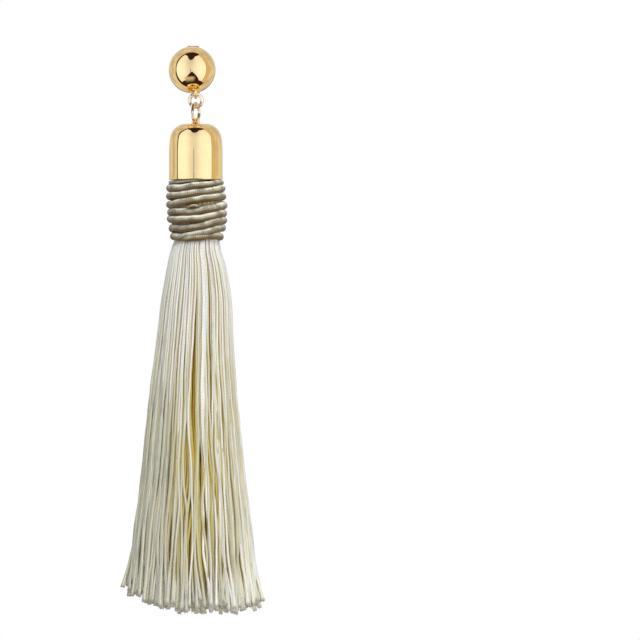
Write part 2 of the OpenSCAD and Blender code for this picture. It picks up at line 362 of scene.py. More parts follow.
def material(name, **fixed):
    """Start a material with one Principled shader, its fixed values on the shader's own sockets."""
    made = bpy.data.materials.new(name)
    made.use_nodes = True
    tree = made.node_tree
    shader = tree.nodes["Principled BSDF"]
    for label, value in fixed.items():
        socket_set(shader, label.replace("_", " "), value)
    return made, tree, shader


def bump(tree, shader, height, distance, strength=1.0):
    """Feed a height to the shader's normal."""
    node = add(tree, "ShaderNodeBump", Height=height, Distance=distance, Strength=strength)
    socket_set(shader, "Normal", node.outputs[0])


def plate(name, tint, gloss, haze, ripple, waves=160.0, tarnish=None):
    """Gold plate with faint ripples, hairlines and haze, and patches of tarnish where it has any."""
    made, tree, shader = material(name, Metallic=1.0)
    wear = placed(tree, handled_plate, Vector=on_piece(tree), Gloss=gloss, Haze=haze, Waves=waves)
    base = mix_colour(tree, wear["Tone"], tint, [0.93 * part for part in tint])
    if tarnish:
        base = mix_colour(tree, wear["Tarnish"], base, tarnish)
    socket_set(shader, "Base Color", base)
    socket_set(shader, "Roughness", wear["Roughness"])
    bump(tree, shader, wear["Height"], ripple * MM)
    return made


def mirror_plate(metal):
    """The polished plate that the ball and the cap share."""
    name = "mirror_plate"
    return bpy.data.materials.get(name) or plate(name, metal.gold, 0.02, 0.05, 0.004)


def thread_silk(silk):
    """Ivory twisted silk with painted shade: olive flanks, amber gaps in the middle, khaki at the
    sides.
    """
    made, tree, shader = material(
        "twisted_silk",
        Sheen_Weight=0.05,
        Sheen_Roughness=0.4,
        Specular_IOR_Level=0.5,
        Specular_Tint=(1.0, 0.90, 0.66),
        Subsurface_Weight=0.35,
        Subsurface_Radius=(1.0, 0.75, 0.35),
        Subsurface_Scale=0.5 * MM,
    )
    own = tree.nodes.new("ShaderNodeUVMap")
    own.uv_map = "UVMap"
    turns = silk.fringe_len / silk.ply_turn * 2
    lay = placed(tree, silk_twist, UV=own.outputs[0], Plies=2.0, Turns=turns)
    painted_shade, tone, shade_warmth, cut = (attribute(tree, name) for name in ("painted_shade", "tone", "shade_warmth", "rib"))
    patches = noise_value(tree, stretched(tree, on_piece(tree), (500, 500, 60)), 1.0, 2.0)
    shade = times(tree, ramp(tree, patches, 0.3, 0.7), 0.3, times(tree, tone, 0.8))
    base = mix_colour(tree, shade, silk.silk, silk.silk_warm)
    # Painted shade on the threads' flanks: olive in the middle, khaki at the sides.
    flank = mix_colour(tree, ramp(tree, shade_warmth, 0.05, 0.3), silk.silk_shade, silk.silk_flank)
    base = mix_colour(tree, ramp(tree, painted_shade, 0.10, 0.42), base, flank)
    # Painted shade behind the outer threads: amber in the middle, khaki at the sides.
    behind = mix_colour(tree, shade_warmth, silk.silk_shade, silk.silk_deep)
    base = mix_colour(tree, ramp(tree, painted_shade, 0.34, 0.68), base, behind)
    # Painted shade in the furrows between the plies.
    base = mix_colour(tree, times(tree, lay["Furrow"], 0.26), base, flank)
    # Painted shade: its saturation, and a slight darkening at the sides, follow its warmth.
    strong = ramp(tree, shade_warmth, 0.0, 0.6, 0.60, 1.02)
    # Painted shade: darker where the tone passes 1, on the left lower side.
    left_shade_value = ramp(tree, tone, 1.0, 2.6, 1.0, 0.88)
    value = times(tree, ramp(tree, shade_warmth, 0.0, 1.0, 0.9, 0.96), left_shade_value)
    base = add(tree, "ShaderNodeHueSaturation", Color=base, Saturation=strong, Value=value).outputs[0]
    socket_set(shader, "Base Color", mix_colour(tree, cut, base, silk.cut_colour))
    socket_set(shader, "Roughness", times(tree, lay["Filament"], 0.15, 0.32))
    bump(tree, shader, lay["Height"], 0.05 * MM, 0.9)
    return made


def bundle_silk_painted_shade(silk):
    """The threads inside the cap and the binding, seen only between the turns, in painted brown shade.
    """
    made, tree, shader = material("bundle_silk_painted_shade", Sheen_Weight=0.2)
    strands = noise_value(tree, stretched(tree, on_piece(tree), (2400, 2400, 90)), 1.0, 3.0)
    tone = ramp(tree, strands, 0.3, 0.7)
    # Painted shade in brown, paler and darker by strands.
    socket_set(shader, "Base Color", mix_colour(tree, tone, silk.bundle_dark, silk.bundle_pale))
    socket_set(shader, "Roughness", times(tree, strands, 0.2, 0.5))
    bump(tree, shader, strands, 0.12 * MM)
    return made


def cord_silk(cord):
    """Wound silk, silver beige: painted brown shade in furrows and under turns, painted highlight on
    top.
    """
    made, tree, shader = material(
        "wound_silk", Sheen_Weight=0.03, Specular_IOR_Level=1.0, Specular_Tint=(1.0, 0.88, 0.62)
    )
    rib, painted_shade = attribute(tree, "rib"), attribute(tree, "painted_shade")
    where = on_piece(tree)
    patches = noise_value(tree, where, 560.0, 3.0)
    fibres = noise_value(tree, stretched(tree, where, (9000, 9000, 1500)), 1.0, 2.0)
    pale = [min(1.0, 2.6 * part) for part in cord.cord_colour]
    base = mix_colour(tree, ramp(tree, patches, 0.34, 0.64), cord.cord_colour, pale)
    # Painted shade in the rib furrows.
    base = mix_colour(tree, ramp(tree, rib, 0.95, 0.3, 0.0, 0.9), base, cord.cord_shade)
    # Painted highlight in silver, in patches, on the upper sides of the turns.
    painted_highlight = times(tree, ramp(tree, painted_shade, 0.16, 0.03), ramp(tree, patches, 0.38, 0.58, 0.2, 0.8))
    base = mix_colour(tree, painted_highlight, base, cord.cord_crest)
    # Painted shade on the undersides of the turns.
    base = mix_colour(tree, ramp(tree, painted_shade, 0.10, 0.52, 0.0, 0.95), base, cord.cord_shade)
    socket_set(shader, "Base Color", base)
    socket_set(shader, "Roughness", times(tree, fibres, 0.22, 0.22))
    bump(tree, shader, fibres, 0.05 * MM, 0.7)
    return made


# Meshes


def baked(name, bm):
    """Turn a bmesh into a mesh."""
    mesh = bpy.data.meshes.new(name)
    bm.to_mesh(mesh)
    bm.free()
    return mesh


def in_scene(name, data):
    """Put an object in the scene."""
    item = bpy.data.objects.new(name, data)
    bpy.context.scene.collection.objects.link(item)
    return item


def finish(name, bm, body, made, replaces):
    """Make a piece of a bmesh: outward faces, smooth shading, its material, body and node."""
    bmesh.ops.recalc_face_normals(bm, faces=bm.faces)
    for face in bm.faces:
        face.smooth = True
    mesh = baked(name, bm)
    mesh.materials.append(made)
    piece = in_scene(name, mesh)
    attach(piece, body)
    if replaces:
        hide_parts(*replaces)


def spun(bm, profile, centre, axis, steps, place=None):
    """Spin a line of points all the way round an axis, put it in its place and add it."""
    made = bmesh.new()
    corners = [made.verts.new(point) for point in profile]
    edges = [made.edges.new(pair) for pair in zip(corners, corners[1:])]
    bmesh.ops.spin(
        made, geom=corners + edges, cent=centre, axis=axis, angle=TAU, steps=steps, use_merge=True
    )
    bmesh.ops.remove_doubles(made, verts=made.verts, dist=SAME)
    if place:
        bmesh.ops.transform(made, matrix=place, verts=made.verts)
    mesh = baked("spun", made)
    bm.from_mesh(mesh)
    bpy.data.meshes.remove(mesh)


def torus(bm, centre, mean_r, wire, axis, steps, sides, angle=TAU, start=0.0):
    """A ring of round wire about an axis. A ring that stops short of a full turn gets flat ends."""
    axis = Vector(axis).normalized()
    aside = Vector((0, 0, 1)) if abs(axis.z) < 0.9 else Vector((1, 0, 0))
    aside = (aside - axis * aside.dot(axis)).normalized()
    aside.rotate(Matrix.Rotation(start, 3, axis))
    across = axis.cross(aside)
    turned = Matrix((aside, axis, across)).transposed().to_4x4()
    turned.translation = Vector(centre) + aside * mean_r
    made = bmesh.ops.create_circle(bm, segments=sides, radius=wire / 2)["verts"]
    bmesh.ops.transform(bm, matrix=turned, verts=made)
    rim = list({edge for corner in made for edge in corner.link_edges})
    whole = angle == TAU
    bmesh.ops.spin(
        bm, geom=made + rim, cent=centre, axis=axis, angle=angle, steps=steps, use_merge=whole
    )
    if not whole:
        bmesh.ops.holes_fill(bm, edges=[edge for edge in bm.edges if edge.is_boundary])


def arc(centre_x, centre_z, radius, start, end, count):
    """Points of an arc, right and up, with its ends, angles in radians."""
    angles = [mixed(start, end, i / count) for i in range(count + 1)]
    return [(centre_x + radius * math.cos(a), centre_z + radius * math.sin(a)) for a in angles]


def straight_tube(name, sides, rings):
    """A closed tube of unit radius and height, rolled up from a grid that gives its UV map."""
    bm = bmesh.new()
    bm.loops.layers.uv.new("UVMap")
    for label in ("painted_shade", "tone", "rib", "shade_warmth"):
        bm.verts.layers.float.new(label)
    bmesh.ops.create_grid(bm, x_segments=sides, y_segments=rings, size=0.5, calc_uvs=True)
    for corner in bm.verts:
        angle = TAU * (corner.co.x + 0.5)
        corner.co = (math.cos(angle), math.sin(angle), corner.co.y + 0.5)
    bmesh.ops.remove_doubles(bm, verts=bm.verts, dist=1e-6)
    bmesh.ops.holes_fill(bm, edges=[edge for edge in bm.edges if edge.is_boundary])
    return baked(name, bm)


class Strands:
    """Many tubes in one bmesh, each bent along its own path."""

    def __init__(self):
        self.bm = bmesh.new()
        self.templates = {}

    def add(self, path, radii, sides, values, up=(0, 1, 0), squash=None, faces=None):
        """Bend a straight tube along a path.

        Values are what each ring stores under a name. Faces gives each ring the direction that
        its open side faces: a point that faces another way gets more painted shade.
        """
        rings = len(path) - 1
        key = (sides, rings)
        if key not in self.templates:
            self.templates[key] = straight_tube(f"tube_{sides}_{rings}", sides, rings)
        before = len(self.bm.verts)
        self.bm.from_mesh(self.templates[key])
        self.bm.verts.ensure_lookup_table()
        frames = self.frames(path, Vector(up))
        layers = {name: self.bm.verts.layers.float[name] for name in values}
        for index in range(before, len(self.bm.verts)):
            corner = self.bm.verts[index]
            ring = min(rings, max(0, round(corner.co.z * rings)))
            across, outward = frames[ring]
            flat = squash[ring] if squash else 1.0
            radius = radii[ring]
            offset = across * (corner.co.x * radius) + outward * (corner.co.y * radius * flat)
            corner.co = path[ring] + offset
            for name, layer in layers.items():
                corner[layer] = values[name][ring]
            # Painted shade: the more a point turns away from the ring's facing direction, the more it
            # gets.
            if faces and offset.length > 0:
                hidden = 0.5 - 0.5 * offset.normalized().dot(faces[ring])
                corner[layers["painted_shade"]] = max(corner[layers["painted_shade"]], hidden)

    @staticmethod
    def frames(path, up):
        """Two directions across the path at each of its points."""
        made = []
        for i in range(len(path)):
            ahead = (path[min(i + 1, len(path) - 1)] - path[max(i - 1, 0)]).normalized()
            across = ahead.cross(up).normalized()
            made.append((across, across.cross(ahead)))
        return made

    def piece(self, name, made, replaces, slot):
        """Make one piece of all the tubes, on the drop."""
        for mesh in self.templates.values():
            bpy.data.meshes.remove(mesh)
        finish(name, self.bm, "drop", made, replaces)


def mixed(a, b, t):
    """A value between two others."""
    return a + (b - a) * t


def bounded(value):
    """A share kept between 0 and 1."""
    return min(1.0, max(0.0, value))


def eased(t):
    """A share with a soft start and a soft end."""
    return (1 - math.cos(math.pi * bounded(t))) / 2


def wave(x, y=0.0, z=0.0):
    """Smooth noise between -1 and 1."""
    return noise.noise(Vector((x, y, z)))


def smooth_rows(rows, at, column):
    """Read a table of rows by its first column, smoothly."""
    if at <= rows[0][0]:
        return rows[0][column]
    for i in range(len(rows) - 1):
        if at <= rows[i + 1][0]:
            break
    else:
        return rows[-1][column]
    before, after = rows[max(i - 1, 0)], rows[min(i + 2, len(rows) - 1)]
    start, end = rows[i], rows[i + 1]
    step = end[0] - start[0]
    slope_a = (end[column] - before[column]) / max(end[0] - before[0], 1e-9)
    slope_b = (after[column] - start[column]) / max(after[0] - start[0], 1e-9)
    t = (at - start[0]) / step
    return (
        (2 * t**3 - 3 * t**2 + 1) * start[column]
        + (t**3 - 2 * t**2 + t) * step * slope_a
        + (3 * t**2 - 2 * t**3) * end[column]
        + (t**3 - t**2) * step * slope_b
    )


# The metal

# Lumps of solder in front of the eye, in millimetres: right of the ball's middle and up from
# it, half their width and half their height.
SOLDER_LUMPS = (
    (-0.36, -4.06, 0.56, 0.74),
    (1.06, -3.90, 0.56, 0.80),
    (0.36, -4.42, 0.62, 0.50),
    (-0.62, -4.42, 0.34, 0.30),
)
# Half their depth and how uneven they are, in millimetres.
SOLDER_DEPTH = 0.34
SOLDER_UNEVEN = 0.10
# The round pad that the eye is soldered to, in millimetres in from the pad's side and out
# from the ball, and the height of its middle.
PAD = ((0, -0.3), (0, 0.06), (0.08, 0.12))
PAD_TOP = 0.17
# Fillet where the post leaves the ball, in millimetres.
POST_FILLET = 0.35
# How far the nut's ends curl back, the angle from which an edge counts as sharp, and the bevel
# of the sharp edges in millimetres.
NUT_CURL = math.radians(268)
NUT_SHARP = 1.0
NUT_BEVEL = 0.05
# The fine cut where each jump ring was closed, and the steps round a ring.
RING_CUT = math.radians(2.0)
RING_STEPS = 88
# Cone of solder at the foot of the cap's loop, in millimetres out and up.
LOOP_FOOT = ((0.62, -0.02), (0.50, 0.05), (0.36, 0.14), (0.20, 0.20), (0.0, 0.22))


def facing(way, place):
    """A matrix that turns upwards to face a way, at a place."""
    turn = way.to_track_quat("Z", "Y").to_matrix().to_4x4()
    turn.translation = place
    return turn


class EARRING_OT_ball_stud(bpy.types.Operator):
    """Build the polished ball with its soldered eye and its ear post"""

    bl_idname = "earring.ball_stud"
    bl_label = "Ball Stud"

    def execute(self, context):
        metal = context.scene.earring_metal
        bm = bmesh.new()
        place = Matrix.Translation(BALL)
        bmesh.ops.create_icosphere(bm, subdivisions=6, radius=BALL_R, matrix=place)
        self.eye(bm, metal)
        self.post(bm, metal)
        made = mirror_plate(metal)
        finish("ball_stud_polished", bm, "stud", made, ("ball_stud",))
        self.solder(metal)
        return {"FINISHED"}

    def eye(self, bm, metal):
        """The eye, with the round pad that it is soldered to."""
        right, front = DROP.x - BALL.x, BALL.y - DROP.y
        reach = BALL_R - metal.eye_sink + metal.eye_r
        down = math.sqrt(reach**2 - right**2 - front**2)
        centre = Vector((DROP.x, DROP.y, BALL.z - down))
        torus(bm, centre, metal.eye_r, metal.eye_wire, (1, 0, 0), 48, 24)
        line = [(metal.pad_d / 2 - side * MM, 0, BALL_R + out * MM) for side, out in PAD]
        line.append((0, 0, BALL_R + PAD_TOP * MM))
        spun(bm, line, (0, 0, 0), (0, 0, 1), 40, facing((centre - BALL).normalized(), BALL))

    def solder(self, metal):
        """The lumps of solder in front of the eye, run together by plating."""
        bm = bmesh.new()
        for side, height, wide, tall in SOLDER_LUMPS:
            place = Vector((side * MM, 0, height * MM))
            place.y = -math.sqrt(BALL_R**2 - place.length_squared)
            size = Matrix.Diagonal((wide * MM, tall * MM, SOLDER_DEPTH * MM, 1))
            lump = facing(place, BALL + place) @ size
            bmesh.ops.create_icosphere(bm, subdivisions=4, radius=1.0, matrix=lump)
        for corner in bm.verts:
            bulge = noise.noise(corner.co / (0.5 * MM))
            corner.co += (corner.co - BALL).normalized() * bulge * SOLDER_UNEVEN * MM
        # Painted reflection: deeper orange than the ball's plate, for the warm surroundings it
        # reflects.
        made = plate("solder_plate", metal.solder_gold, 0.12, 0.12, 0.02)
        finish("eye_solder", bm, "stud", made, ())

    def post(self, bm, metal):
        """The round post with its bevelled tip, spun about its own line."""
        end = STUD_HIGH.y
        r = metal.post_d / 2
        bevel = end - metal.post_bevel
        fillet = POST_FILLET * MM
        line = [
            (0, BALL.y, 0),
            (r + fillet, -0.9 * MM, 0),
            (r + 0.3 * fillet, -0.25 * MM, 0),
            (r, 0.1 * MM, 0),
            (r, bevel, 0),
            (r * 0.85, bevel + 0.4 * metal.post_bevel, 0),
            (r / 2, end, 0),
            (0, end, 0),
        ]
        spun(bm, line, (0, 0, 0), (0, 1, 0), 40)


class EARRING_OT_ear_nut(bpy.types.Operator):
    """Build the ear nut: a strip whose two ends curl back to the post"""

    bl_idname = "earring.ear_nut"
    bl_label = "Ear Nut"

    def execute(self, context):
        metal = context.scene.earring_metal
        bm = bmesh.new()
        front = NUT_LOW.y
        curl_r = metal.curl_d / 2
        curl_z = NUT_HIGH.z - curl_r
        wide = (NUT_HIGH.x - NUT_LOW.x) / 2
        y = front + metal.nut_strip / 2
        middle = bm.edges.new([bm.verts.new((side * wide, y, 0)) for side in (-1, 1)])
        for side in (1, -1):
            edge = self.grow(bm, middle, side * curl_z, 6)
            bmesh.ops.spin(
                bm,
                geom=[edge, *edge.verts],
                cent=(0, front + curl_r, side * curl_z),
                axis=(1, 0, 0),
                angle=-side * NUT_CURL,
                steps=32,
            )
        for corner in bm.verts:
            slope = (abs(corner.co.z) - curl_z / 2) / (NUT_HIGH.z - curl_z / 2)
            corner.co.x *= mixed(1.0, metal.nut_tip_w / 2 / wide, bounded(slope))
        bmesh.ops.remove_doubles(bm, verts=bm.verts, dist=SAME)
        bmesh.ops.recalc_face_normals(bm, faces=bm.faces)
        bmesh.ops.solidify(bm, geom=bm.faces[:], thickness=metal.nut_strip)
        off = front - min(corner.co.y for corner in bm.verts)
        bmesh.ops.translate(bm, vec=(0, off, 0), verts=bm.verts)
        inner = [edge for edge in bm.edges if len(edge.link_faces) == 2]
        bmesh.ops.bevel(
            bm,
            geom=[edge for edge in inner if edge.calc_face_angle(0) > NUT_SHARP],
            offset=NUT_BEVEL * MM,
            segments=2,
            profile=0.5,
            affect="EDGES",
            material=-1,
            clamp_overlap=True,
        )
        made = plate("nut_plate", metal.nut_gold, 0.22, 0.10, 0.01)
        finish("ear_nut_curled", bm, "stud", made, ("ear_nut",))
        return {"FINISHED"}

    def grow(self, bm, edge, height, steps):
        """Extrude a level edge up or down in equal steps, and give the last edge."""
        for _ in range(steps):
            grown = bmesh.ops.extrude_edge_only(bm, edges=[edge])["geom"]
            corners = [item for item in grown if isinstance(item, bmesh.types.BMVert)]
            bmesh.ops.translate(bm, vec=Vector((0, 0, height)) / steps, verts=corners)
            edge = bm.edges.get(corners)
        return edge


class EARRING_OT_rings(bpy.types.Operator):
    """Build the two jump rings, each with the fine cut where it was closed"""

    bl_idname = "earring.rings"
    bl_label = "Jump Rings"

    def execute(self, context):
        metal = context.scene.earring_metal
        made = plate("ring_plate", metal.pale_gold, 0.02, 0.05, 0.03, 750.0, metal.tarnish)
        aslant = (math.cos(metal.link_turn), -math.sin(metal.link_turn), 0)
        for node, body, wire, axis, sides, cut_at in (
            ("upper_ring", "link", metal.ring_wire, (0, 1, 0), 24, 2.2),
            ("lower_ring", "drop", metal.link_wire, aslant, 20, 1.2),
        ):
            low, high = ends(node)
            mean_r = ((high - low).z - wire) / 2
            bm = bmesh.new()
            angle = TAU - RING_CUT
            torus(bm, (low + high) / 2, mean_r, wire, axis, RING_STEPS, sides, angle, cut_at)
            finish(node + "_wire", bm, body, made, (node,))
        return {"FINISHED"}


class EARRING_OT_cap(bpy.types.Operator):
    """Build the hollow bullet-shaped cap with the loop soldered on its top"""

    bl_idname = "earring.cap"
    bl_label = "Cap"

    def execute(self, context):
        metal = context.scene.earring_metal
        self.top = RIM_Z + metal.cap_h
        half = metal.cap_wall / 2
        rim = arc(DROP.x + CAP_R - half, RIM_Z + half, half, 0, -math.pi, 12)
        line = self.outline(metal, 0) + rim + self.outline(metal, metal.cap_wall)[::-1]
        bm = bmesh.new()
        spun(bm, [(x, DROP.y, z) for x, z in line], DROP, (0, 0, 1), 128)
        self.loop(bm, metal)
        finish("cap_polished", bm, "drop", mirror_plate(metal), ("cap",))
        return {"FINISHED"}

    def outline(self, metal, inset):
        """Half of the cap's outline, from its top to the start of the round rim."""
        corner, side, straight = metal.cap_corner, metal.cap_side, metal.cap_straight
        side_x = CAP_R - side
        corner_x = side_x + math.sqrt((side - corner) ** 2 - (straight - corner) ** 2)
        meet = math.atan2(straight - corner, corner_x - side_x)
        flat = [(DROP.x + corner_x * part, self.top - inset) for part in (0, 0.35, 0.7)]
        bend = arc(DROP.x + corner_x, self.top - corner, corner - inset, math.pi / 2, meet, 16)
        slow = arc(DROP.x + side_x, self.top - straight, side - inset, meet, 0, 14)
        wall_x = DROP.x + CAP_R - inset
        low = RIM_Z + metal.cap_wall / 2
        wall = [(wall_x, mixed(self.top - straight, low, part)) for part in (0.25, 0.5, 0.75)]
        return flat + bend + slow[1:] + wall

    def loop(self, bm, metal):
        """The loop, with a small cone of solder at its foot."""
        loop_r = (metal.loop_hole + metal.loop_wire) / 2
        centre = (DROP.x, DROP.y, CAP_HIGH.z - metal.loop_wire / 2 - loop_r)
        axis = (-math.sin(metal.link_turn), -math.cos(metal.link_turn), 0)
        torus(bm, centre, loop_r, metal.loop_wire, axis, 48, 16)
        line = [(DROP.x + out * MM, DROP.y, self.top + up * MM) for out, up in LOOP_FOOT]
        spun(bm, line, DROP, (0, 0, 1), 32)


# The binding

# One row for each half turn, right and left in turn from the top: the drop below the rim
# as a share of the pitch, the radius as a share of the binding's, the height of the cord
# and the share of the half turn in which it comes to the next row.
HALF_TURNS = (
    (0.08, 0.90, 0.05, 1.00),
    (0.30, 0.94, 0.62, 1.00),
    (0.30, 0.96, 0.64, 0.82),
    (1.04, 1.03, 1.00, 1.00),
    (1.09, 1.03, 1.00, 0.82),
    (2.01, 1.05, 1.00, 1.00),
    (2.00, 1.07, 1.00, 1.00),
    (3.05, 1.04, 1.00, 1.00),
    (3.20, 1.10, 1.00, 0.68),
    (3.98, 0.99, 1.00, 1.00),
    (4.12, 1.10, 1.00, 0.66),
    (4.96, 1.01, 1.00, 1.00),
    (5.05, 1.10, 1.00, 0.68),
    (6.00, 0.93, 1.00, 1.00),
    (6.00, 1.05, 1.00, 0.72),
    (7.10, 0.89, 1.00, 1.00),
    (7.06, 0.98, 1.00, 1.00),
    (7.36, 0.86, 0.90, 1.00),
)
# Columns of these rows.
RADIUS, HEIGHT = 1, 2
# Half turns at which the cord starts and ends, its turns, and the pitches down to the neck.
FIRST_HALF_TURN = 0.42
LAST_HALF_TURN = 16.80
TURNS = 8
NECK_SHARE = 7.75
# Rings of the cord's mesh in each rib.
RIB_RINGS = 3
# How far the bundle keeps from the cord.
CLEAR = 0.12 * MM
# The bundle's head in the cap: millimetres above the rim and the share of its radius there.
BUNDLE_HEAD = ((9.0, 0.5), (8.4, 0.85), (6.5, 1.0), (1.5, 0.97))
BUNDLE_ROWS = 12
# The small arch of thread between the third and the fourth turn: its ends to the right of
# the middle, its radius, its half thickness and its rise, all in millimetres, and the
# pitches from the rim down to its ends.
ARCH_ENDS = (-1.8, 0.9)
ARCH_R = 6.06
ARCH_THICK = 0.32
ARCH_RISE = 0.42
ARCH_DROPS = (3.60, 3.42)
ARCH_RINGS = 28


def wound(h, column):
    """Read the binding's table between two half turns."""
    i = min(int(h), len(HALF_TURNS) - 2)
    start, end = HALF_TURNS[i], HALF_TURNS[i + 1]
    return mixed(start[column], end[column], eased((h - i) / start[3]))


def binding_top(cord):
    """Height at which the binding starts."""
    return RIM_Z - cord.rim_gap


def pitch(cord):
    """Height of one turn."""
    return cord.cord_d + cord.turn_gap


def cord_point(cord, h):
    """A point on the cord's middle line, with the slight waver of winding by hand."""
    turn = -math.pi * h
    r = cord.bind_r * wound(h, RADIUS)
    waver = 0.25 * wave(h * 3.1, 0.3, 9.1) + 0.22 * wave(h * 7.3, 5.3, 2.1)
    z = binding_top(cord) - pitch(cord) * wound(h, 0) + waver * MM * wound(h, HEIGHT)
    return Vector((DROP.x + r * math.cos(turn), DROP.y + r * math.sin(turn), z))


def core_r(cord, turn):
    """Radius of the bundle inside a turn of the binding."""
    left, right = HALF_TURNS[2 * turn + 1][RADIUS], HALF_TURNS[2 * turn + 2][RADIUS]
    return cord.bind_r * (left + right) / 2 - cord.cord_d / 2 - CLEAR


class EARRING_OT_binding(bpy.types.Operator):
    """Wind the ribbed cord round the bundle, with the small arch of thread that shows"""

    bl_idname = "earring.binding"
    bl_label = "Binding"

    def execute(self, context):
        cord = context.scene.earring_cord
        strands = Strands()
        around = TAU * cord.bind_r * (LAST_HALF_TURN - FIRST_HALF_TURN) / 2
        rings = int(around / (cord.rib / RIB_RINGS))
        path, radii, ribs, flat, faces = [], [], [], [], []
        for ring in range(rings + 1):
            h = mixed(FIRST_HALF_TURN, LAST_HALF_TURN, ring / rings)
            turn = -math.pi * h
            ridge = abs(math.sin(math.pi * ring / RIB_RINGS + 0.35)) ** 0.7
            lump = 1 + 0.10 * wave(h * 2.3, 4.7) + 0.12 * wave(h * 8, 1.7)
            taper = min(1.0, 0.35 + 4 * min(h - FIRST_HALF_TURN, LAST_HALF_TURN - h))
            furrow = cord.rib_depth * (1 - ridge)
            path.append(cord_point(cord, h))
            radii.append(cord.cord_d / 2 * lump * taper * (1 - furrow))
            ribs.append(ridge)
            flat.append(wound(h, HEIGHT))
            # The turns face up and out: their undersides get painted shade, their upper sides a painted
            # highlight.
            faces.append(Vector((math.cos(turn), math.sin(turn), 2.0)).normalized())
        values = {"rib": ribs, "painted_shade": [0.0] * len(path)}
        strands.add(path, radii, 12, values, (0, 0, 1), flat, faces)
        self.arch(strands, cord)
        strands.piece("binding_wound", cord_silk(cord), ("binding_cord",), "binding_silk")
        return {"FINISHED"}

    def arch(self, strands, cord):
        """A small arch of thread that stands out between the third and the fourth turn."""
        path, radii, painted_shade = [], [], []
        for ring in range(ARCH_RINGS + 1):
            t = ring / ARCH_RINGS
            rise = math.sin(math.pi * t)
            x = mixed(*ARCH_ENDS, t) * MM
            depth = math.sqrt((ARCH_R * MM) ** 2 - x**2) + 0.15 * MM * rise
            z = RIM_Z - pitch(cord) * mixed(*ARCH_DROPS, t) + ARCH_RISE * MM * rise
            path.append(Vector((DROP.x + x, DROP.y - depth, z)))
            radii.append(ARCH_THICK * MM * (0.5 + 0.5 * rise))
            # Painted shade at the ends, where the arch goes in under the turns; its top gets the cord's
            # painted highlight.
            painted_shade.append(mixed(0.5, 0.02, rise))
        faces = [Vector((0, -1, 1)).normalized()] * len(path)
        values = {"rib": [1.0] * len(path), "painted_shade": painted_shade}
        strands.add(path, radii, 10, values, (0, 0, 1), faces=faces)


class EARRING_OT_bundle(bpy.types.Operator):
    """Build the gathered bundle inside the cap and the binding"""

    bl_idname = "earring.bundle"
    bl_label = "Bundle"

    def execute(self, context):
        cord = context.scene.earring_cord
        silk = context.scene.earring_tassel
        head = CAP_R - 0.9 * MM
        top = binding_top(cord)
        rows = [(RIM_Z + up * MM, head * part) for up, part in BUNDLE_HEAD]
        rows.append((RIM_Z + 0.3 * MM, core_r(cord, 0)))
        half = BUNDLE_ROWS // 2
        for row in range(half, BUNDLE_ROWS * TURNS - half + 1):
            turns = row / BUNDLE_ROWS - 0.5
            turn = min(int(turns), TURNS - 2)
            r = mixed(core_r(cord, turn), core_r(cord, turn + 1), turns - turn)
            rows.append((top - pitch(cord) * row / BUNDLE_ROWS, r + CLEAR))
        rows.append((top - NECK_SHARE * pitch(cord) - 3 * MM, silk.neck_r * 0.55))
        line = [(DROP.x + r, DROP.y, z) for z, r in rows]
        line = [(DROP.x, DROP.y, rows[0][0]), *line, (DROP.x, DROP.y, rows[-1][0])]
        bm = bmesh.new()
        spun(bm, line, DROP, (0, 0, 1), 120)
        for corner in bm.verts:
            out = Vector((corner.co.x - DROP.x, corner.co.y - DROP.y, 0))
            furrow = 0.10 * MM * math.cos(30 * math.atan2(out.y, out.x))
            if out.length > MM:
                corner.co += out.normalized() * (furrow + self.swell(cord, corner.co.z, out))
        finish("bundle_core", bm, "drop", bundle_silk_painted_shade(silk), ())
        return {"FINISHED"}

    def swell(self, cord, z, out):
        """How far the bundle swells out between the turns of the cord."""
        drop = (binding_top(cord) - z) / pitch(cord)
        part = bounded(4 * drop) * bounded(6.8 - drop)
        if not part:
            return 0.0
        first = -math.atan2(out.y, out.x) / math.pi % 2
        limit, total, weights = 1.0, 0.0, 0.0
        for turn in range(TURNS + 1):
            h = first + 2 * turn
            if FIRST_HALF_TURN <= h <= LAST_HALF_TURN:
                place = cord_point(cord, h)
                r = math.hypot(place.x - DROP.x, place.y - DROP.y)
                off = abs(place.z - z)
                weight = 1 / (off**2 + (0.2 * MM) ** 2)
                total += weight * r
                weights += weight
                level = off / (cord.cord_d / 2 * max(0.1, wound(h, HEIGHT)))
                if level < 1:
                    limit = min(limit, r - cord.cord_d / 2 * math.sqrt(1 - level**2))
        return part * (min(limit, total / weights) - CLEAR - out.length)


# The fringe

# One row for each height: the fall as a share of the fringe's length, the width from the
# neck's at 0 to the ends' at 1, and the lean to the right as a share of the width.
OUTLINE = (
    (-0.08, 0.00, 0.012),
    (0.000, 0.04, 0.008),
    (0.012, 0.07, 0.003),
    (0.027, 0.10, 0.000),
    (0.060, 0.17, 0.005),
    (0.107, 0.24, 0.006),
    (0.156, 0.30, 0.004),
    (0.252, 0.36, -0.006),
    (0.381, 0.46, -0.016),
    (0.510, 0.56, -0.020),
    (0.638, 0.66, -0.020),
    (0.767, 0.80, -0.024),
    (0.864, 0.88, -0.024),
    (0.930, 0.955, -0.023),
    (1.000, 1.00, -0.023),
)
# Columns of these rows.
WIDTH, LEAN = 1, 2
# How far each sixteenth of the ends lies above the lowest, from the right round by the back.
CUT_RISE = (
    (0.034, 0.022, 0.014, 0.010, 0.008, 0.020, 0.045, 0.062)
    + (0.076, 0.060, 0.036, 0.016, 0.014, 0.018, 0.016, 0.020)
)
